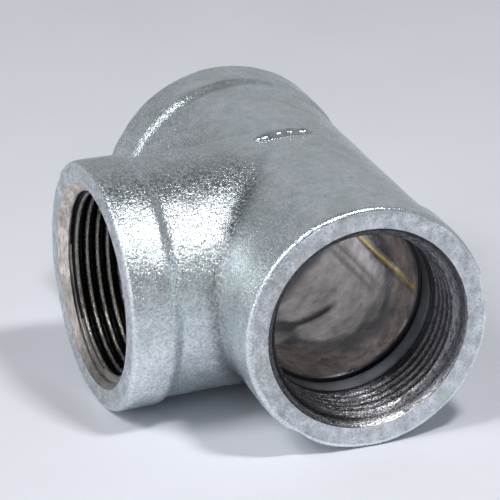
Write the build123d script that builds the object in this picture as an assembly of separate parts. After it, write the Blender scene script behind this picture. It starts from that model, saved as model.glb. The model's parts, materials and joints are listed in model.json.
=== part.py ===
"""Equal tee, DN32 (1-1/4 inch), galvanised malleable iron, with three female parallel pipe threads.

The run lies along X and the branch opens towards -Y. All three axes are at one height, and the part
lies on the bands round its three mouths. Z = 0 is the surface that it lies on, X = 0 is the branch's
axis, and Y = 0 is the middle of the part's width.
"""

import os

from build123d import *

# Outside, millimetres
CENTRE_TO_FACE = 45.0
BAND_RADIUS = 26.75
BAND_WIDTH = 9.0
SHOULDER_WIDTH = 1.6
BODY_RADIUS = 25.8
NECK_RADIUS = 25.6
CROTCH_RADIUS = 4.0
RIM_CHAMFER = 0.5

# Inside, millimetres: a parallel pipe thread of 11 turns to the inch
THREAD_MINOR_RADIUS = 38.952 / 2
THREAD_MAJOR_RADIUS = 41.910 / 2
THREAD_PITCH = 25.4 / 11
THREAD_FLANK_SLOPE = 0.5206  # tangent of half the 55 degree thread angle
THREAD_END_DEPTH = 13.6
MOUTH_RADIUS = 22.1
BORE_DEPTH = 19.0
BORE_LINE_DEPTHS = (15.0, 18.3)  # fine lines at both ends of the plain bore behind the thread
BORE_LINE_WIDTH = 0.4
LIP_DEPTH = 20.0
CAVITY_RADIUS = 18.7

# Each arm is made longer by this, threaded, and then faced to length
FACING_STOCK = 3 * THREAD_PITCH
# How far a cutter passes the surface that it cuts
OVERRUN = 0.2

# The axes' height, and where the run's axis lies along Y
AXIS_HEIGHT = BAND_RADIUS
RUN_AXIS_Y = (CENTRE_TO_FACE - BAND_RADIUS) / 2

# Turns about Z that take an arm made along +X to the front, rear and branch arms
FRONT, REAR, BRANCH = 0, 180, -90


def arm_blank(body_radius):
    """One solid arm along +X from the axes' crossing: body, sloped shoulder, and band with stock."""
    shoulder_end = CENTRE_TO_FACE - BAND_WIDTH
    outline = Polyline(
        (0, 0),
        (0, body_radius),
        (shoulder_end - SHOULDER_WIDTH, body_radius),
        (shoulder_end, BAND_RADIUS),
        (CENTRE_TO_FACE + FACING_STOCK, BAND_RADIUS),
        (CENTRE_TO_FACE + FACING_STOCK, 0),
        close=True,
    )
    return revolve(make_face(outline), Axis.X)


def bore_line(depth):
    """Corners of a fine V-shaped line turned in the plain bore, from its inner side outwards."""
    middle = CENTRE_TO_FACE - depth
    half = BORE_LINE_WIDTH / 2
    return [
        (middle - half, THREAD_MINOR_RADIUS),
        (middle, THREAD_MINOR_RADIUS + half),
        (middle + half, THREAD_MINOR_RADIUS),
    ]


def hollow_of_arm():
    """The hollow of one arm along +X: cast cavity, lip, and the plain bore for the thread."""
    inner_line, outer_line = sorted(BORE_LINE_DEPTHS, reverse=True)
    outline = Polyline(
        (0, 0),
        (0, CAVITY_RADIUS),
        (CENTRE_TO_FACE - LIP_DEPTH, CAVITY_RADIUS),
        (CENTRE_TO_FACE - BORE_DEPTH, THREAD_MINOR_RADIUS),
        *bore_line(inner_line),
        *bore_line(outer_line),
        (CENTRE_TO_FACE + 2 * FACING_STOCK, THREAD_MINOR_RADIUS),
        (CENTRE_TO_FACE + 2 * FACING_STOCK, 0),
        close=True,
    )
    return revolve(make_face(outline), Axis.X)


def thread_groove():
    """The helical groove of one thread along +X, from its inner end into the facing stock."""
    height = THREAD_MAJOR_RADIUS - THREAD_MINOR_RADIUS
    root_half = (THREAD_PITCH / 2 - height * THREAD_FLANK_SLOPE) / 2
    section_height = height + OVERRUN
    open_half = root_half + section_height * THREAD_FLANK_SLOPE
    start = CENTRE_TO_FACE - THREAD_END_DEPTH
    helix = Helix(
        pitch=THREAD_PITCH,
        height=THREAD_END_DEPTH + THREAD_PITCH,
        radius=THREAD_MAJOR_RADIUS,
        center=(start, 0, 0),
        direction=(1, 0, 0),
    )
    outward = helix @ 0 - Vector(start, 0, 0)
    at_start = Plane(origin=helix @ 0, x_dir=outward, z_dir=helix % 0)
    section = Polyline(
        (0, -root_half),
        (0, root_half),
        (-section_height, open_half),
        (-section_height, -open_half),
        close=True,
    )
    return sweep(at_start * make_face(section), path=helix, is_frenet=True)


def facing_cut():
    """What facing takes off one arm along +X: the stock, the rim's outer edge and the mouth's cone."""
    far = CENTRE_TO_FACE + 2 * FACING_STOCK
    clear = BAND_RADIUS + FACING_STOCK
    cone_length = MOUTH_RADIUS - THREAD_MINOR_RADIUS + OVERRUN
    outline = Polyline(
        (CENTRE_TO_FACE - cone_length, 0),
        (CENTRE_TO_FACE - cone_length, THREAD_MINOR_RADIUS - OVERRUN),
        (CENTRE_TO_FACE, MOUTH_RADIUS),
        (CENTRE_TO_FACE, BAND_RADIUS - RIM_CHAMFER),
        (CENTRE_TO_FACE - RIM_CHAMFER - OVERRUN, BAND_RADIUS + OVERRUN),
        (CENTRE_TO_FACE - RIM_CHAMFER - OVERRUN, clear),
        (far, clear),
        (far, 0),
        close=True,
    )
    return revolve(make_face(outline), Axis.X)


def turned(shape, turn):
    """Turn a shape made along +X about the upright axis."""
    return Rot(0, 0, turn) * shape


def tee_body():
    """The casting: run and branch, their hollow, and the three threads cut in it."""
    outside = turned(arm_blank(BODY_RADIUS), FRONT) + turned(arm_blank(BODY_RADIUS), REAR)
    outside += turned(arm_blank(NECK_RADIUS), BRANCH)
    casting = fillet(outside.edges().filter_by(GeomType.BSPLINE), CROTCH_RADIUS)
    for turn in (FRONT, REAR, BRANCH):
        casting -= turned(hollow_of_arm(), turn)
    for turn in (FRONT, REAR, BRANCH):
        casting -= turned(thread_groove(), turn)
        casting -= turned(facing_cut(), turn)
    return Pos(0, RUN_AXIS_Y, AXIS_HEIGHT) * casting


os.makedirs("parts", exist_ok=True)
export_step(tee_body(), "parts/tee_body.step")
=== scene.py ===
"""The looks of the galvanised pipe tee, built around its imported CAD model. All lengths are in metres.

The casting is made about the crossing of its three axes and then moved to where the CAD model has it.
"""

import json
import math
from collections import namedtuple

import bmesh
import bpy
import numpy as np
from mathutils import Matrix, Vector, noise


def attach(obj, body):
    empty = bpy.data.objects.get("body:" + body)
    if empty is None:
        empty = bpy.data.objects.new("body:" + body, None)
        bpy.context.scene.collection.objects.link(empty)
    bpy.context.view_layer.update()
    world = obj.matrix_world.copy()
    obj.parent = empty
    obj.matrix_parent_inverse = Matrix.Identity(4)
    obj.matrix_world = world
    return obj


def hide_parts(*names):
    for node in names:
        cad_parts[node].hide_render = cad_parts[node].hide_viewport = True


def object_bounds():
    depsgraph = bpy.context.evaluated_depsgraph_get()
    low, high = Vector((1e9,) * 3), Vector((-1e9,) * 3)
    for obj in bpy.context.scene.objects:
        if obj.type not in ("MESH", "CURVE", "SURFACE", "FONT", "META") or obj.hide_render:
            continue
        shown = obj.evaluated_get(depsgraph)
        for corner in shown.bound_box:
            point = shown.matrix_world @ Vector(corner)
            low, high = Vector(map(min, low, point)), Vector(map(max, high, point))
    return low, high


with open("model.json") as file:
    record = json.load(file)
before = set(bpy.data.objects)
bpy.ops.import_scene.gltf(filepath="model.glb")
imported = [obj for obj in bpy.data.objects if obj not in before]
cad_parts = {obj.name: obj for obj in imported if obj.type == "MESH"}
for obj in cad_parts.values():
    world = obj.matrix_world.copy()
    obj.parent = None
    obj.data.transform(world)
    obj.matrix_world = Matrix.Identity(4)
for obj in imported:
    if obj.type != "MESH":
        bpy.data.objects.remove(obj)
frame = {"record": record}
cad_low, cad_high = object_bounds()

MM = 0.001

# Places and sizes that come from the frame
front_port = next(m for m in frame["record"]["mounts"] if m["name"] == "front_port")
CROSSING = Vector((0, *front_port["pos_m"][1:]))
CENTRE_TO_FACE = cad_high[0]
BAND_RADIUS = cad_high[2] / 2
MINOR_RADIUS = front_port["dims"]["r_mm"] * MM

# Outside of the casting: the CAD model's radii, with softer shoulders and rims. The rim is rounded in
# rows at these degrees
BODY_RADIUS = 25.8 * MM
NECK_RADIUS = 25.6 * MM
CROTCH_BLEND = 4.5 * MM
SHOULDER_START = CENTRE_TO_FACE - 11.6 * MM
SHOULDER_END = CENTRE_TO_FACE - 8.8 * MM
SHOULDER_ROWS = 5
RIM_ROUND = 1.0 * MM
RIM_DEGREES = (22, 45, 68, 90)
MOUTH_RADIUS = 22.1 * MM

# Inside of the casting: a 45 degree cone, the thread and how it runs out, the plain bore, lip and cavity
CONE_LENGTH = MOUTH_RADIUS - MINOR_RADIUS
CONE_END = CENTRE_TO_FACE - CONE_LENGTH
PITCH = 25.4 * MM / 11
MAJOR_RADIUS = 41.91 * MM / 2
RUN_OUT_START = CENTRE_TO_FACE - 13.2 * MM + 0.4 * PITCH
BORE_START = CENTRE_TO_FACE - 13.7 * MM
BORE_END = CENTRE_TO_FACE - 19.0 * MM
LIP = CENTRE_TO_FACE - 20.0 * MM
CAVITY_START = LIP - 0.3 * MM
CAVITY_RADIUS = 18.7 * MM
CAVITY_BLEND = 4.0 * MM

# Where a thread's flank lies, from the middle of a crest (0) to the middle of a root (1)
FLANK = (0.14, 0.86)
# The run's threads are worn: how deep they are at the face and from WORN_REACH in, as shares of the
# full depth, and how far in from the face they start
WORN_AT_FACE, WORN_INSIDE = 0.15, 0.70
WORN_REACH = 5.0 * MM
WORN_EDGE = 0.5 * MM
# How much of the painted shade in the grooves is lifted between two crests at the face, where a crest is
# 1
WORN_SHADE_LIFT = 0.65

# The line turned behind the thread: (distance behind the bore's start, depth)
BORE_LINE = ((0.3 * MM, 0.2 * MM), (0.8 * MM, 0.2 * MM), (1.1 * MM, 0))
# The groove before the lip, and the lip's edge: (distance along the arm, radius)
GROOVE = ((BORE_END - 0.1 * MM, MINOR_RADIUS + 0.35 * MM), (LIP + 0.25 * MM, MINOR_RADIUS + 0.35 * MM))
LIP_EDGE = (
    (LIP + 0.05 * MM, CAVITY_RADIUS + 0.30 * MM),
    (LIP - 0.05 * MM, CAVITY_RADIUS + 0.08 * MM),
    (LIP - 0.2 * MM, CAVITY_RADIUS),
)

# Mesh fineness, and how near two points are that close_seams joins
AROUND = 204
ROWS_PER_PITCH = 8
STEP = 0.85 * MM
JOIN_DISTANCE = 2e-6
# Edges sharper than this stay sharp
SHARP_DEGREES = 40

# The casting's material slots, in order
SLOTS = range(7)
SKIN, FACE, MOUTH, THREAD, WORN_THREAD, BORE, CAVITY = SLOTS

# Unevenness of the cast surfaces: (size of the lumps, height)
SKIN_LUMPS = ((9.0 * MM, 0.18 * MM), (3.2 * MM, 0.10 * MM))
CAVITY_LUMPS = ((11.0 * MM, 0.30 * MM),)

# Nicks in the front port's rim: (degrees round it from +Y upwards, size, depth)
RIM_NICKS = (
    (328, 1.3 * MM, 0.5 * MM),
    (8, 2.6 * MM, 0.35 * MM),
    (351, 1.4 * MM, 0.3 * MM),
    (233, 2.6 * MM, 0.7 * MM),
    (102, 1.1 * MM, 0.3 * MM),
)
# How far behind the face a nick can reach
NICK_REACH = 4 * MM

# The painted shade in the crease at the crotch: half width, heights where it fades out (1 is the body's
# top), how strong it is on the rear side, and where along X it gets there
CREASE_WIDTH = 2.3 * MM
CREASE_TOP = (0.80, 0.96)
CREASE_REAR = 0.35
CREASE_REAR_X = -6 * MM
# The branch's skin is coarser than the run's: where along Y the one passes into the other
COARSE_Y = (-17 * MM, -6 * MM)
# A strip along its top gets painted shade in its pitting: degrees from the top towards +X, half width,
# how much more
SHADED_STRIP = (22, 11)
STRIP_SHADE_MORE = 1.5

# The line behind the thread and the groove before the lip are painted black as shade: depths from the
# face
SHADED_LINE = (13.8 * MM, 14.7 * MM)
SHADED_GROOVE = (19.05 * MM, 19.98 * MM)
# The lower side of the branch's lead-in is painted darker: how much, and the heights where that thins out
LOWER_DARKENING = 0.6
LOWER_DARKENING_HEIGHTS = (-9 * MM, -4 * MM)
# The run's ports get painted shade all round but for a lit stretch near the bottom: how much, and the
# stretch's middle and half width in degrees from +Y
PORT_SHADE = 0.72
LIT_STRETCH = (-79, 28)

# Core seams in the run's cavity, ridges along X: level is the height above the axis
Seam = namedtuple("Seam", "level half_width height start end")
GOLD_SEAM = Seam(-2.5 * MM, 0.42 * MM, 0.35 * MM, -20 * MM, 25 * MM)
GREY_SEAMS = (
    Seam(-8.0 * MM, 0.5 * MM, 0.22 * MM, -20 * MM, 5 * MM),
    Seam(-9.6 * MM, 0.5 * MM, 0.22 * MM, -20 * MM, 4 * MM),
)
SEAM_FADE = 3 * MM

# The painted pool of light on the cavity's wall opposite the branch: middle and half sizes, along X and
# in degrees round the run from +Y, and the waves in its edge (size, share of its half sizes)
PATCH_MIDDLE = (-5 * MM, -48)
PATCH_HALF = (18 * MM, 50)
PATCH_WAVES = (5 * MM, 0.16)

# The dark streak on the cavity's floor: place along X, half width, the degrees from +Y where it
# begins, is full, thins and ends, and its strength
STREAK_X, STREAK_WIDTH = -4 * MM, 1.3 * MM
STREAK_DEGREES = (-97, -91, -64, -50)
STREAK_STRENGTH = 1.4
# The blot that it begins in: place along Y, half width, how many times as long along X, strength
BLOT_Y, BLOT_WIDTH, BLOT_STRETCH = -0.6 * MM, 1.7 * MM, 1.7
BLOT_STRENGTH = 1.8

# The raised mark on top of the crossing, a row of plain pads; the first, low and wide, carries the mark's
# painted shade:
# (x, y, length along X, length along Y, height)
MARK_PADS = (
    (-3.9 * MM, 0.2 * MM, 5.0 * MM, 14.0 * MM, 0.30 * MM),
    (-3.7 * MM, -4.2 * MM, 2.4 * MM, 4.4 * MM, 0.85 * MM),
    (-3.7 * MM, -0.6 * MM, 2.0 * MM, 1.8 * MM, 0.75 * MM),
    (-3.9 * MM, 2.0 * MM, 2.2 * MM, 2.4 * MM, 0.80 * MM),
    (-3.8 * MM, 5.0 * MM, 2.4 * MM, 2.8 * MM, 0.85 * MM),
)

# The stage: the floor's half width, and the colours of the lamps
FLOOR_HALF = 3.0
WHITE, COOL_WHITE = (1, 1, 1), (0.98, 0.99, 1)

# The camera: turn about Z from +X, elevation and roll in degrees, distance, and lens in millimetres
CAMERA_TURN, CAMERA_ELEVATION, CAMERA_ROLL = -19.54, 22.73, -2.0
CAMERA_DISTANCE = 1.2706
CAMERA_LENS = 429.9
# Where the crossing is seen, from the picture's middle
SEEN_RIGHT, SEEN_UP = 0.00885, -0.00042

# Arms: direction of the axis, and the level direction that angles are counted from
ARMS = {
    "front": (Vector((1, 0, 0)), Vector((0, 1, 0))),
    "rear": (Vector((-1, 0, 0)), Vector((0, -1, 0))),
    "branch": (Vector((0, -1, 0)), Vector((1, 0, 0))),
}
ANGLES = np.arange(AROUND) * 2 * math.pi / AROUND


# ---------------------------------------------------------------- mesh of the casting


def smooth_step(low, high, x):
    """A smooth rise from 0 at low to 1 at high."""
    t = np.clip((x - low) / (high - low), 0, 1)
    return t * t * (3 - 2 * t)


def bump_at(distance, width):
    """A smooth hill of height 1, from the distance to its middle."""
    return np.exp(-((distance / width) ** 2))


def ring(arm, along, radius):
    """A ring of points round an arm. Distance along it and radius are one number, or one per angle."""
    axis, level = (np.array(v) for v in ARMS[arm])
    along, radius = np.broadcast_to(along, AROUND), np.broadcast_to(radius, AROUND)
    across = np.multiply.outer(radius * np.cos(ANGLES), level)
    upright = np.multiply.outer(radius * np.sin(ANGLES), np.array((0.0, 0.0, 1.0)))
    return np.multiply.outer(along, axis) + across + upright


def seam_distance(arm, radius):
    """How far along its arm each angle's line starts, where the three arms share a seam."""
    level = radius * np.cos(ANGLES)
    return np.abs(level) if arm == "branch" else np.maximum(0, -level * ARMS[arm][1].y)


def blended_distance(points, run_radius, neck_radius, blend):
    """Signed distance to the run and branch cylinders, with their meeting line rounded off.

    The small floors only keep the divisions from failing.
    """
    x, y, z = points.T
    run = np.hypot(y, z)
    neck = np.hypot(x, z)
    to_run = run - run_radius
    to_neck = np.maximum(neck - neck_radius, y)
    facing = 1 - np.clip(z * z / np.maximum(run * neck, 1e-9), 0, 1)
    reach = np.maximum(blend * facing, 1e-7)
    near = np.maximum(reach - np.abs(to_run - to_neck), 0) / reach
    return np.minimum(to_run, to_neck) - near * near * reach / 4


def pull_to_blend(points, run_radius, neck_radius, blend):
    """Move points along the distance's slope until they lie on the blended surface."""
    pulls, probe, least_slope = 12, 1e-6, 0.2
    for _ in range(pulls):
        value = blended_distance(points, run_radius, neck_radius, blend)
        slope = np.stack(
            [
                (
                    blended_distance(points + probe * e, run_radius, neck_radius, blend)
                    - blended_distance(points - probe * e, run_radius, neck_radius, blend)
                )
                / (2 * probe)
                for e in np.eye(3)
            ],
            axis=-1,
        )
        points = points - (value / np.maximum((slope**2).sum(-1), least_slope))[:, None] * slope
    return points


def rows_between(start, end, step):
    """Evenly spaced values from start to end, about step apart."""
    return np.linspace(start, end, max(2, round(abs(end - start) / step) + 1))


def central_rows(arm, run_radius, neck_radius, blend, end):
    """Rows of points from the seam out to a fixed distance along the arm."""
    seam = seam_distance(arm, run_radius)
    rows = []
    for share in rows_between(0, 1, STEP / end):
        points = ring(arm, seam + (end - seam) * share, run_radius)
        rows.append(pull_to_blend(points, run_radius, neck_radius, blend))
    return rows


def outer_profile(body_radius):
    """(distance along, radius) rows: over the shoulder, band and rim, and over the face to the mouth."""
    step = BAND_RADIUS - body_radius
    shoulder = [
        (SHOULDER_START + (SHOULDER_END - SHOULDER_START) * t, body_radius + step * smooth_step(0, 1, t))
        for t in rows_between(0, 1, 1 / SHOULDER_ROWS)[1:]
    ]
    rim_start = CENTRE_TO_FACE - RIM_ROUND
    band = [(s, BAND_RADIUS) for s in rows_between(SHOULDER_END, rim_start, STEP)[1:]]
    rim = [
        (CENTRE_TO_FACE - RIM_ROUND * (1 - math.sin(a)), BAND_RADIUS - RIM_ROUND * (1 - math.cos(a)))
        for a in np.radians(RIM_DEGREES)
    ]
    face = [(CENTRE_TO_FACE, r) for r in rows_between(BAND_RADIUS - RIM_ROUND, MOUTH_RADIUS, STEP)[1:]]
    return shoulder + band + rim, face


def off_crest(along, turn):
    """Where a place on the helix is, from the middle of a crest (0) to the middle of a root (1)."""
    return np.abs((along / PITCH - turn) % 1 - 0.5) * 2


def thread_radius(along, turn, arm):
    """The wall's radius in a threaded port, at a distance along the arm and a turn from 0 to 1.

    The branch's thread is sharp and starts behind a clean cone. The run's threads are worn, and are
    cut in their cones too.
    """
    groove = smooth_step(*FLANK, off_crest(along, turn)) * (MAJOR_RADIUS - MINOR_RADIUS)
    fade = smooth_step(BORE_START, RUN_OUT_START, along)
    depth = CENTRE_TO_FACE - along
    cone = MOUTH_RADIUS - depth
    if arm == "branch":
        return np.maximum(MINOR_RADIUS + groove * fade, cone)
    worn = WORN_AT_FACE + (WORN_INSIDE - WORN_AT_FACE) * smooth_step(0, WORN_REACH, depth)
    return np.maximum(MINOR_RADIUS, cone) + groove * fade * worn * smooth_step(0, WORN_EDGE, depth)


def port_rows(arm):
    """(distance along, radius) rows of a port's threaded wall, in a helix from the mouth inwards."""
    turn = ANGLES / (2 * math.pi)
    count = math.ceil((CENTRE_TO_FACE - BORE_START) / PITCH + 1) * ROWS_PER_PITCH
    for j in range(1, count + 1):
        along = CENTRE_TO_FACE + PITCH * (turn - j / ROWS_PER_PITCH)
        along = np.clip(along, BORE_START, CENTRE_TO_FACE)
        yield along, thread_radius(along, turn, arm)


def inner_profile():
    """(distance along, radius) rows behind the thread: line, plain bore, groove and the lip's edge."""
    line = [(BORE_START - back, MINOR_RADIUS + depth) for back, depth in BORE_LINE]
    line_end = line[-1][0]
    bore = [(s, MINOR_RADIUS) for s in rows_between(line_end, BORE_END, STEP)[1:]]
    return line + bore + [*GROOVE, *LIP_EDGE]


def arm_rows(arm):
    """All rows of one arm, from the outer seam to the inner seam, as (points, material slot, rows back).

    Rows back is how many rows a thread's helix has fallen behind after one turn.
    """
    skin, face = outer_profile(NECK_RADIUS if arm == "branch" else BODY_RADIUS)
    thread = THREAD if arm == "branch" else WORN_THREAD
    outside = central_rows(arm, BODY_RADIUS, NECK_RADIUS, CROTCH_BLEND, SHOULDER_START)
    inside = central_rows(arm, CAVITY_RADIUS, CAVITY_RADIUS, CAVITY_BLEND, CAVITY_START)
    rows = [(points, SKIN, 0) for points in outside]
    rows += [(ring(arm, s, r), SKIN, 0) for s, r in skin]
    rows += [(ring(arm, s, r), FACE, 0) for s, r in face]
    for j, (s, r) in enumerate(port_rows(arm), 1):
        rows.append((ring(arm, s, r), thread, min(j, ROWS_PER_PITCH)))
    rows += [(ring(arm, s, r), BORE, 0) for s, r in inner_profile()]
    rows += [(points, CAVITY, 0) for points in reversed(inside)]
    return rows


def row_slots(points, slot, arm):
    """The material slot of each face that ends at a row of points.

    The branch's threaded wall is lead-in as far as its cone goes.
    """
    if slot != THREAD:
        return [slot] * AROUND
    along = points @ np.array(ARMS[arm][0])
    return np.where(along > CONE_END, MOUTH, THREAD)


def casting_mesh():
    """One closed mesh of the whole casting, its arms joined along the outer and inner seams."""
    mesh = bpy.data.meshes.new("tee_casting")
    rings, faces, slots = [], [], []
    for arm in ARMS:
        rows = arm_rows(arm)
        first = len(rings)
        rings += [points for points, _, _ in rows]
        for j, ((_, _, back), (points, slot, next_back)) in enumerate(zip(rows, rows[1:])):
            low = (first + j) * AROUND
            high = low + AROUND
            low_end = low - back * AROUND
            high_end = high - next_back * AROUND
            faces += [(low + i, low + i + 1, high + i + 1, high + i) for i in range(AROUND - 1)]
            # The face that closes the turn. Where a helix starts, two of its corners are the same
            faces.append(tuple(dict.fromkeys((low + AROUND - 1, low_end, high_end, high + AROUND - 1))))
            slots += list(row_slots(points, slot, arm))
    mesh.from_pydata([tuple(p) for p in np.concatenate(rings)], [], faces)
    mesh.polygons.foreach_set("material_index", slots)
    return mesh


def close_seams(mesh):
    """Join the points that arms share and drop the faces that have no area."""
    bm = bmesh.new()
    bm.from_mesh(mesh)
    bmesh.ops.remove_doubles(bm, verts=bm.verts, dist=JOIN_DISTANCE)
    bmesh.ops.recalc_face_normals(bm, faces=bm.faces)
    bm.to_mesh(mesh)
    bm.free()


# ---------------------------------------------------------------- wear and stains of the casting


def vectors_of(mesh, name):
    """The places or normals of a mesh's vertices."""
    values = np.empty(len(mesh.vertices) * 3)
    mesh.vertices.foreach_get(name, values)
    return values.reshape(-1, 3)


def material_of_vertices(mesh):
    """For each material slot, a mask of the vertices that only touch faces of that slot."""
    slots = np.empty(len(mesh.polygons), int)
    mesh.polygons.foreach_get("material_index", slots)
    loops = np.empty(len(mesh.loops), int)
    mesh.loops.foreach_get("vertex_index", loops)
    sides = np.empty(len(mesh.polygons), int)
    mesh.polygons.foreach_get("loop_total", sides)
    of_loop = np.repeat(slots, sides)
    lowest = np.full(len(mesh.vertices), len(SLOTS))
    highest = np.zeros(len(mesh.vertices), int)
    np.minimum.at(lowest, loops, of_loop)
    np.maximum.at(highest, loops, of_loop)
    return {slot: (lowest == slot) & (highest == slot) for slot in SLOTS}


def waves(points, size):
    """Smooth random waves at each point, about size across and from -1 to 1."""
    return np.array([noise.noise(Vector(p) / size) for p in points])


def lumps(points, layers):
    """Height of cast unevenness at each point."""
    return sum(height * waves(points, size) for size, height in layers)


def nick_depth(points):
    """How deep the nicks in the front port's rim are at each point."""
    depth = np.zeros(len(points))
    for degrees, size, deep in RIM_NICKS:
        a = math.radians(degrees)
        middle = np.array((CENTRE_TO_FACE, BAND_RADIUS * math.cos(a), BAND_RADIUS * math.sin(a)))
        depth += deep * bump_at(np.linalg.norm(points - middle, axis=1), size)
    return depth


def on_seam(points, seam):
    """How much each point lies on a core seam's ridge, from 0 to 1."""
    x, y, z = points.T
    begun = smooth_step(seam.start - SEAM_FADE, seam.start + SEAM_FADE, x)
    ended = smooth_step(seam.end - SEAM_FADE, seam.end + SEAM_FADE, x)
    along = begun * (1 - ended)
    return bump_at(z - seam.level, seam.half_width) * along * (y > 0)


def weather(mesh):
    """Give the cast surfaces their lumps, the rim its nicks and the cavity its core seams."""
    points, normals = vectors_of(mesh, "co"), vectors_of(mesh, "normal")
    only = material_of_vertices(mesh)
    height = np.zeros(len(points))
    height[only[SKIN]] = lumps(points[only[SKIN]], SKIN_LUMPS)
    inside = points[only[CAVITY]]
    height[only[CAVITY]] = lumps(inside, CAVITY_LUMPS)
    for seam in (GOLD_SEAM, *GREY_SEAMS):
        height[only[CAVITY]] += seam.height * on_seam(inside, seam)
    near_rim = points[:, 0] > CENTRE_TO_FACE - NICK_REACH
    height[near_rim] -= nick_depth(points[near_rim])
    points += normals * height[:, None]
    points[:, 2] = np.maximum(points[:, 2], -CROSSING.z)
    mesh.vertices.foreach_set("co", points.ravel())
    mesh.update()


def degrees_round_run(points):
    """Degrees round the run's axis, counted from +Y upwards."""
    return np.degrees(np.arctan2(points[:, 2], points[:, 1]))


def crease_shade(points):
    """How much painted shade each point of the skin gets in the crease at the crotch, from 0 to 1."""
    x, y, z = points.T
    beside = (np.hypot(y, z) - BODY_RADIUS) - (np.hypot(x, z) - NECK_RADIUS)
    below_top = 1 - smooth_step(*CREASE_TOP, z / BODY_RADIUS)
    to_front = CREASE_REAR + (1 - CREASE_REAR) * smooth_step(CREASE_REAR_X, 0, x)
    return bump_at(beside, CREASE_WIDTH) * below_top * to_front * (y < 0)


def coarseness_and_strip_shade(points):
    """How rough the skin's grain is: 1 on the branch, 0 on the run; a strip along the branch's top adds
    painted shade to the pitting.
    """
    x, y, z = points.T
    middle, half_width = SHADED_STRIP
    strip_shade = bump_at(np.degrees(np.arctan2(x, z)) - middle, half_width)
    return (1 - smooth_step(*COARSE_Y, y)) * (1 + STRIP_SHADE_MORE * strip_shade)


def thread_crest(points, in_branch):
    """How near each point is to the middle of a thread's crest, from 0 to 1.

    The run's threads are worn, so near the face their grooves count as crests too and get less painted
    shade.
    """
    crest = np.zeros(len(points))
    for arm, (axis, level) in ARMS.items():
        of_arm = in_branch if arm == "branch" else ~in_branch & (points @ np.array(axis) >= 0)
        along = points[of_arm] @ np.array(axis)
        turn = np.arctan2(points[of_arm, 2], points[of_arm] @ np.array(level)) / (2 * math.pi)
        crest[of_arm] = 1 - off_crest(along, turn)
        if arm != "branch":
            at_mouth = 1 - smooth_step(0, WORN_REACH, CENTRE_TO_FACE - along)
            crest[of_arm] += (1 - crest[of_arm]) * WORN_SHADE_LIFT * at_mouth
    return crest


def port_shade_and_darkening(points, in_branch):
    """How dark each port's wall is painted: painted shade in the run's ports but for a lit stretch, black
    shade in the line and groove, a darker lower lead-in.
    """
    from_face = CENTRE_TO_FACE - np.where(in_branch, -points[:, 1], np.abs(points[:, 0]))
    in_line = (from_face > SHADED_LINE[0]) & (from_face < SHADED_LINE[1])
    in_groove = (from_face > SHADED_GROOVE[0]) & (from_face < SHADED_GROOVE[1])
    middle, half_width = LIT_STRETCH
    # Painted shade round the run's ports, but for the lit stretch
    port_shade = PORT_SHADE * (1 - bump_at(degrees_round_run(points) - middle, half_width)) * ~in_branch
    lower_darkening = (1 - smooth_step(*LOWER_DARKENING_HEIGHTS, points[:, 2])) * (in_branch & (from_face < CONE_LENGTH))
    return np.maximum(port_shade + LOWER_DARKENING * lower_darkening, in_line | in_groove)


def lit_patch(points):
    """Distance from the middle of the cavity's painted pool of light, 1 at its wavy edge."""
    along = (points[:, 0] - PATCH_MIDDLE[0]) / PATCH_HALF[0]
    round_run = (degrees_round_run(points) - PATCH_MIDDLE[1]) / PATCH_HALF[1]
    size, height = PATCH_WAVES
    return np.hypot(along, round_run) + height * waves(points, size)


def dark_streak(points):
    """How much each point lies on the dark streak on the cavity's floor, which begins in a blot."""
    x, y, z = points.T
    begin, full, thin, end = STREAK_DEGREES
    degrees = degrees_round_run(points)
    line = STREAK_STRENGTH * bump_at(x - STREAK_X, STREAK_WIDTH) * smooth_step(begin, full, degrees)
    line *= 1 - smooth_step(thin, end, degrees)
    from_blot = np.hypot((x - STREAK_X) / BLOT_STRETCH, y - BLOT_Y)
    blot = BLOT_STRENGTH * bump_at(from_blot, BLOT_WIDTH) * (z < 0)
    return np.clip(line + blot, 0, 1)


def add_attributes(mesh):
    """Keep numbers for each vertex that the materials read."""
    points = vectors_of(mesh, "co")
    in_branch = points[:, 1] < -np.abs(points[:, 0])
    attributes = {
        "crease_shade": crease_shade(points),
        "coarse_and_strip_shade": coarseness_and_strip_shade(points),
        "port_shade_and_darkening": port_shade_and_darkening(points, in_branch),
        "thread_crest": thread_crest(points, in_branch),
        "gold_seam": on_seam(points, GOLD_SEAM),
        "grey_seam": sum(on_seam(points, seam) for seam in GREY_SEAMS),
        "lit_patch": lit_patch(points),
        "dark_streak": dark_streak(points),
    }
    for name, values in attributes.items():
        mesh.attributes.new(name, "FLOAT", "POINT").data.foreach_set("value", values)


# ---------------------------------------------------------------- materials


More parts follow.
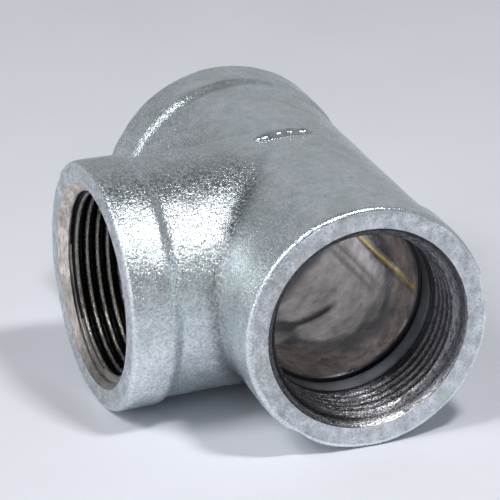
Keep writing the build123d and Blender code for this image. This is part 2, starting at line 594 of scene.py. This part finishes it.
class Nodes:
    """One material and its node tree."""

    # A Mix node has sockets for several kinds of value: these are a colour mix's
    MIX_SHARE, MIX_FIRST, MIX_SECOND, MIX_RESULT = 0, 6, 7, 2
    # Nearly all of a noise lies between these
    NOISE_RANGE = (0.3, 0.7)

    def __init__(self, name):
        self.material = bpy.data.materials.new(name)
        self.material.use_nodes = True
        self.tree = self.material.node_tree
        self.shader = self.tree.nodes["Principled BSDF"]
        self.place = self.add("ShaderNodeTexCoord").outputs["Object"]

    def add(self, kind, **inputs):
        """A new node with its inputs, whose names have _ in place of spaces."""
        node = self.tree.nodes.new(kind)
        self.feed(node, **inputs)
        return node

    def feed(self, node, **inputs):
        """Give a node its inputs, as numbers or as other nodes' outputs."""
        for name, value in inputs.items():
            self.plug(node.inputs[name.replace("_", " ")], value)

    def plug(self, socket, value):
        """Link another node's output to a socket, or set the socket to a number."""
        if isinstance(value, bpy.types.NodeSocket):
            self.tree.links.new(value, socket)
        else:
            socket.default_value = value

    def noise(self, size, detail=2.0, roughness=0.5, place=None):
        """Noise from 0 to 1 whose features are about size metres across."""
        place = place or self.place
        inputs = dict(Vector=place, Scale=1 / size, Detail=detail, Roughness=roughness)
        return self.add("ShaderNodeTexNoise", **inputs).outputs["Fac"]

    def stretched(self, scale):
        """The place, stretched along X, Y and Z, so that noise on it is squeezed there."""
        node = self.tree.nodes.new("ShaderNodeVectorMath")
        node.operation = "MULTIPLY"
        self.plug(node.inputs[0], self.place)
        self.plug(node.inputs[1], scale)
        return node.outputs[0]

    def attribute(self, name):
        """A number kept for each vertex of the mesh."""
        node = self.tree.nodes.new("ShaderNodeAttribute")
        node.attribute_name = name
        return node.outputs["Fac"]

    def spread(self, value, from_low, from_high, to_low=0.0, to_high=1.0):
        """Stretch a range of values to another range, without going past its ends."""
        node = self.add("ShaderNodeMapRange", Value=value)
        self.feed(node, From_Min=from_low, From_Max=from_high, To_Min=to_low, To_Max=to_high)
        return node.outputs["Result"]

    def mix(self, share, first, second):
        """A colour between two colours."""
        node = self.tree.nodes.new("ShaderNodeMix")
        node.data_type = "RGBA"
        self.plug(node.inputs[self.MIX_SHARE], share)
        for index, colour in ((self.MIX_FIRST, first), (self.MIX_SECOND, second)):
            self.plug(node.inputs[index], (*colour, 1) if isinstance(colour, tuple) else colour)
        return node.outputs[self.MIX_RESULT]

    def times(self, first, second):
        """Two values multiplied."""
        node = self.tree.nodes.new("ShaderNodeMath")
        node.operation = "MULTIPLY"
        self.plug(node.inputs[0], first)
        self.plug(node.inputs[1], second)
        return node.outputs[0]

    def bump(self, *layers):
        """The shader's normal, from (height from 0 to 1, depth in metres) layers."""
        normal = None
        for height, depth in layers:
            node = self.add("ShaderNodeBump", Height=height, Distance=depth)
            if normal:
                self.plug(node.inputs["Normal"], normal)
            normal = node.outputs["Normal"]
        self.plug(self.shader.inputs["Normal"], normal)

    def metal(self, colour, metallic, pattern, smoothest, roughest):
        """The shader's colour and metallic, and its roughness over a noise's pattern."""
        roughness = self.spread(pattern, *self.NOISE_RANGE, smoothest, roughest)
        self.feed(self.shader, Base_Color=colour, Metallic=metallic, Roughness=roughness)


def zinc(name, light, dark, rough, grain_depth, lump_depth, spots):
    """Hot-dip zinc: clouded blue-grey metal with a pebbled skin, dull patches and small dark specks.

    Its grain is deeper and pitted where the skin is rougher. Painted shade darkens the crease and the
    pitting along the branch's top strip.
    """
    dull, speck, greenish = (0.36, 0.38, 0.37), (0.16, 0.16, 0.16), (0.52, 0.58, 0.50)
    # Dark for the pitting, also painted shade along the branch's top strip; the darker one is the
    # crease's painted shade
    pit_and_shade_colour, deep = (0.26, 0.28, 0.29), (0.10, 0.11, 0.12)
    n = Nodes(name)
    clouds = n.noise(3.0 * MM, 4, 0.66)
    grain = n.noise(0.66 * MM, 3, 0.6)
    fine = n.noise(0.33 * MM, 2)
    specks = n.spread(n.noise(0.5 * MM, 3, 0.7), 0.54, 0.70)
    patches = n.spread(n.noise(2.6 * MM, 4, 0.65), 0.54, 0.68)
    tint = n.spread(n.noise(11 * MM, 2), 0.45, 0.75, 0, 0.35)
    coarse_and_strip_shade = n.attribute("coarse_and_strip_shade")
    # Dark pitting, with painted shade added along the branch's top strip
    pits_and_strip_shade = n.times(coarse_and_strip_shade, n.spread(grain, 0.40, 0.58, 0.38, 0))
    crease_shaded = n.times(n.attribute("crease_shade"), n.spread(grain, 0.25, 0.65, 1.0, 0.6))
    colour = n.mix(n.spread(clouds, 0.35, 0.65), dark, light)
    colour = n.mix(n.times(patches, 0.6 * spots), colour, dull)
    colour = n.mix(n.times(specks, spots), colour, speck)
    colour = n.mix(tint, colour, greenish)
    colour = n.mix(pits_and_strip_shade, colour, pit_and_shade_colour)
    # Painted shade in the crease at the crotch
    colour = n.mix(crease_shaded, colour, deep)
    n.metal(colour, 0.86, fine, rough - 0.08, rough + 0.10)
    depth = n.spread(coarse_and_strip_shade, 0, 1, 0.5 * grain_depth, grain_depth)
    n.bump((n.noise(1.8 * MM, 2), lump_depth), (grain, depth), (fine, n.times(depth, 0.3)))
    return n.material


def tapped_iron(name, metallic, streak_scale, crest_width, crest_colour, streak_colour, groove_shade_colour):
    """Tapped iron: bright streaked crests, painted shade in the grooves and over the run's ports, and
    fine tearing round the cut.
    """
    shade_colour = (0.03, 0.03, 0.04)
    n = Nodes(name)
    streaks = n.noise(1.6 * MM, 4, 0.7, n.stretched(streak_scale))
    grain = n.noise(0.30 * MM, 3, 0.65)
    bright = n.spread(n.attribute("thread_crest"), 1 - crest_width, 1)
    metal = n.mix(n.spread(streaks, 0.46, 0.62), crest_colour, streak_colour)
    flecks = n.times(n.spread(grain, 0.54, 0.68), n.spread(bright, 0, 1, 0.06, 0.9))
    # Painted shade in the thread's grooves
    colour = n.mix(bright, groove_shade_colour, metal)
    colour = n.mix(flecks, colour, crest_colour)
    # Painted shade over the run's ports but for a lit stretch near the bottom
    colour = n.mix(n.attribute("port_shade_and_darkening"), colour, shade_colour)
    n.metal(colour, metallic, grain, 0.17, 0.32)
    n.bump((streaks, 0.18 * MM), (n.noise(0.8 * MM, 3, 0.6), 0.05 * MM), (grain, 0.05 * MM))
    return n.material


def mouth_cone():
    """The lead-in cone: cut metal gone brownish grey, with the cutter's fine lines round it."""
    light, dark = (0.78, 0.72, 0.66), (0.48, 0.44, 0.40)
    line_colour, lower_dark_colour = (0.22, 0.20, 0.19), (0.15, 0.14, 0.14)
    n = Nodes("cut_lead_in")
    grain = n.noise(0.5 * MM, 3, 0.6)
    lines = n.noise(1.8 * MM, 3, 0.6, n.stretched((1, 7, 1)))
    colour = n.mix(n.spread(n.noise(3 * MM, 3), 0.4, 0.65), light, dark)
    colour = n.mix(n.spread(lines, 0.50, 0.62, 0, 0.6), colour, line_colour)
    # The lower side of the branch's lead-in is painted darker
    colour = n.mix(n.attribute("port_shade_and_darkening"), colour, lower_dark_colour)
    n.metal(colour, 0.85, grain, 0.32, 0.5)
    n.bump((lines, 0.12 * MM), (grain, 0.05 * MM))
    return n.material


def plain_bore():
    """The plain bore behind the thread: smooth blue-grey metal, painted shade over the run's ports but
    for a lit stretch, black painted shade in its line and groove.
    """
    light, dark, shade_black = (0.62, 0.69, 0.76), (0.44, 0.50, 0.56), (0.02, 0.02, 0.025)
    n = Nodes("plain_bore")
    grain = n.noise(0.8 * MM, 3, 0.6)
    colour = n.mix(n.spread(n.noise(4 * MM, 2), 0.4, 0.65), light, dark)
    # Black painted shade in the line and groove, and painted shade over the run's ports but for a lit
    # stretch
    colour = n.mix(n.attribute("port_shade_and_darkening"), colour, shade_black)
    n.metal(colour, 0.85, grain, 0.30, 0.42)
    n.bump((grain, 0.03 * MM))
    return n.material


def cast_cavity():
    """The uncut cavity: glossy brownish grey metal with a painted pool of light and shadow edge, brown
    painted shade, stains, rust and core seams.
    """
    lit_patch_light, lit_patch_dark = (0.94, 0.88, 0.84), (0.64, 0.58, 0.55)
    shaded_brown_light, shaded_brown_dark, rust = (0.72, 0.62, 0.57), (0.36, 0.31, 0.31), (0.60, 0.36, 0.20)
    shadow_edge, stain, streak = (0.24, 0.23, 0.235), (0.16, 0.15, 0.14), (0.05, 0.045, 0.045)
    grey, gold = (0.20, 0.20, 0.20), (1.0, 0.74, 0.24)
    n = Nodes("cast_cavity")
    streaks = n.noise(2.2 * MM, 4, 0.6)
    stains = n.noise(5 * MM, 4, 0.62)
    patch = n.attribute("lit_patch")
    lit_patch_colour = n.mix(n.spread(stains, 0.35, 0.65), lit_patch_light, lit_patch_dark)
    shaded_brown = n.mix(n.spread(stains, 0.42, 0.60), shaded_brown_light, shaded_brown_dark)
    shaded_brown = n.mix(n.spread(streaks, 0.56, 0.70, 0, 0.7), shaded_brown, rust)
    # Painted pool of light on the wall opposite the branch, a painted shadow at its edge, and brown with
    # painted shade beyond
    colour = n.mix(n.spread(patch, 0.80, 0.98), lit_patch_colour, shadow_edge)
    colour = n.mix(n.spread(patch, 1.06, 1.34), colour, shaded_brown)
    colour = n.mix(n.spread(streaks, 0.52, 0.72, 0, 0.35), colour, stain)
    colour = n.mix(n.times(n.attribute("grey_seam"), 0.7), colour, grey)
    colour = n.mix(n.spread(n.attribute("gold_seam"), 0.15, 0.6), colour, gold)
    colour = n.mix(n.attribute("dark_streak"), colour, streak)
    n.metal(colour, 0.8, streaks, 0.24, 0.36)
    n.bump((n.noise(3.5 * MM, 2), 0.14 * MM), (n.noise(0.5 * MM, 2), 0.02 * MM))
    return n.material


# ---------------------------------------------------------------- pieces


def cast_mark():
    """The raised mark on top of the crossing: plain rounded pads that follow the body's curve."""
    bm = bmesh.new()
    for x, y, length, width, height in MARK_PADS:
        for vertex in bmesh.ops.create_icosphere(bm, subdivisions=4, radius=1)["verts"]:
            u, v, w = vertex.co
            turn = math.asin(y / BODY_RADIUS) + v * width / 2 / BODY_RADIUS
            radius = BODY_RADIUS + w * height
            place = (x + u * length / 2, radius * math.sin(turn), radius * math.cos(turn))
            vertex.co = CROSSING + Vector(place)
    mesh = bpy.data.meshes.new("cast_mark")
    bm.to_mesh(mesh)
    bm.free()
    return mesh


def show(thing):
    """Put a new object in the scene."""
    bpy.context.scene.collection.objects.link(thing)


def add_piece(name, mesh, materials):
    """Put a piece of the casting in the scene."""
    piece = bpy.data.objects.new(name, mesh)
    show(piece)
    for material in materials:
        mesh.materials.append(material)
    mesh.shade_smooth()
    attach(piece, "root")
    return piece


zinc_skin = zinc(
    "zinc_skin",
    light=(0.88, 0.94, 0.97),
    dark=(0.72, 0.79, 0.82),
    rough=0.26,
    grain_depth=0.17 * MM,
    lump_depth=0.12 * MM,
    spots=0.35,
)
zinc_face = zinc(
    "zinc_face",
    light=(0.82, 0.86, 0.90),
    dark=(0.46, 0.50, 0.53),
    rough=0.40,
    grain_depth=0.18 * MM,
    lump_depth=0.10 * MM,
    spots=0.85,
)
# Darker than the skin: painted shade on and round the raised mark
shaded_mark_zinc = zinc(
    "shaded_mark_zinc",
    light=(0.68, 0.73, 0.76),
    dark=(0.42, 0.46, 0.48),
    rough=0.24,
    grain_depth=0.20 * MM,
    lump_depth=0.10 * MM,
    spots=0.50,
)
worn_thread = tapped_iron(
    "worn_thread",
    metallic=0.85,
    streak_scale=(6, 1, 1),
    crest_width=0.50,
    crest_colour=(0.95, 0.95, 0.95),
    streak_colour=(0.06, 0.06, 0.07),
    groove_shade_colour=(0.055, 0.055, 0.07),
)
sharp_thread = tapped_iron(
    "sharp_thread",
    metallic=0.95,
    streak_scale=(1, 6, 1),
    crest_width=0.42,
    crest_colour=(1.0, 0.96, 0.86),
    streak_colour=(0.72, 0.67, 0.60),
    groove_shade_colour=(0.012, 0.012, 0.018),
)

casting_shape = casting_mesh()
close_seams(casting_shape)
add_attributes(casting_shape)
weather(casting_shape)
casting_shape.transform(Matrix.Translation(CROSSING))
casting = add_piece(
    "tee_casting",
    casting_shape,
    (zinc_skin, zinc_face, mouth_cone(), sharp_thread, worn_thread, plain_bore(), cast_cavity()),
)
casting_shape.set_sharp_from_angle(angle=math.radians(SHARP_DEGREES))
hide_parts("tee_body")
add_piece("cast_mark", cast_mark(), (shaded_mark_zinc,))


# ---------------------------------------------------------------- stage


def stage_floor():
    """A plain pale floor under the part."""
    mesh = bpy.data.meshes.new("floor")
    corners = [(x * FLOOR_HALF, y * FLOOR_HALF, 0) for x, y in ((-1, -1), (1, -1), (1, 1), (-1, 1))]
    mesh.from_pydata(corners, [], [(0, 1, 2, 3)])
    n = Nodes("pale_floor")
    clouds = n.spread(n.noise(40 * MM, 3), *n.NOISE_RANGE)
    colour = n.mix(clouds, (0.82, 0.83, 0.89), (0.85, 0.86, 0.92))
    n.feed(n.shader, Base_Color=colour, Roughness=0.55)
    mesh.materials.append(n.material)
    floor = bpy.data.objects.new("floor", mesh)
    show(floor)


def soft_light(name, direction, distance, size, power, colour):
    """A square softbox that faces the part from a direction."""
    lamp = bpy.data.lights.new(name, "AREA")
    lamp.size = size
    lamp.energy = power
    lamp.color = colour
    light = bpy.data.objects.new(name, lamp)
    towards = Vector(direction).normalized()
    light.location = CROSSING + towards * distance
    light.rotation_euler = towards.to_track_quat("Z", "Y").to_euler()
    show(light)


def surroundings(colour, bright, dark):
    """A pale room, dark overhead and bright low down. The dark comes lower at the front than behind."""
    world = bpy.data.worlds.new("studio")
    world.use_nodes = True
    tree = world.node_tree
    background = tree.nodes["Background"]
    background.inputs["Color"].default_value = (*colour, 1)
    # How nearly a direction points down and a little backwards
    slope = tree.nodes.new("ShaderNodeVectorMath")
    slope.operation = "DOT_PRODUCT"
    tree.links.new(tree.nodes.new("ShaderNodeTexCoord").outputs["Generated"], slope.inputs[0])
    slope.inputs[1].default_value = (-0.25, 0.25, -0.93)
    strength = tree.nodes.new("ShaderNodeMapRange")
    tree.links.new(slope.outputs["Value"], strength.inputs["Value"])
    limits = {"From Min": -0.60, "From Max": -0.22, "To Min": dark, "To Max": bright}
    for name, value in limits.items():
        strength.inputs[name].default_value = value
    tree.links.new(strength.outputs["Result"], background.inputs["Strength"])
    bpy.context.scene.world = world


def photo_camera():
    """A long lens, a little above the part and to the branch's side of the run."""
    turn, elevation, roll = (math.radians(a) for a in (CAMERA_TURN, CAMERA_ELEVATION, CAMERA_ROLL))
    level = math.cos(elevation)
    back = Vector((level * math.cos(turn), level * math.sin(turn), math.sin(elevation)))
    right = back.cross(Vector((0, 0, -1))).normalized()
    up = back.cross(right)
    rolled_right = math.cos(roll) * right + math.sin(roll) * up
    rolled_up = math.cos(roll) * up - math.sin(roll) * right
    camera = bpy.data.objects.new("camera", bpy.data.cameras.new("camera"))
    camera.data.lens = CAMERA_LENS
    camera.matrix_world = Matrix((rolled_right, rolled_up, back)).transposed().to_4x4()
    camera.location = CROSSING + back * CAMERA_DISTANCE - rolled_right * SEEN_RIGHT - rolled_up * SEEN_UP
    show(camera)
    bpy.context.scene.camera = camera


stage_floor()
soft_light(
    "overhead_softbox",
    direction=(0.45, 0.15, 0.87),
    distance=0.60,
    size=0.08,
    power=1.75,
    colour=WHITE,
)
soft_light(
    "left_softbox",
    direction=(0.12, -0.62, 0.78),
    distance=1.2,
    size=0.45,
    power=6.8,
    colour=COOL_WHITE,
)
soft_light(
    "low_fill",
    direction=(0.22, -0.94, 0.26),
    distance=1.3,
    size=0.90,
    power=4.2,
    colour=COOL_WHITE,
)
surroundings(colour=(0.87, 0.89, 0.95), bright=0.385, dark=0.08)
photo_camera()
bpy.context.scene.view_settings.view_transform = "Standard"
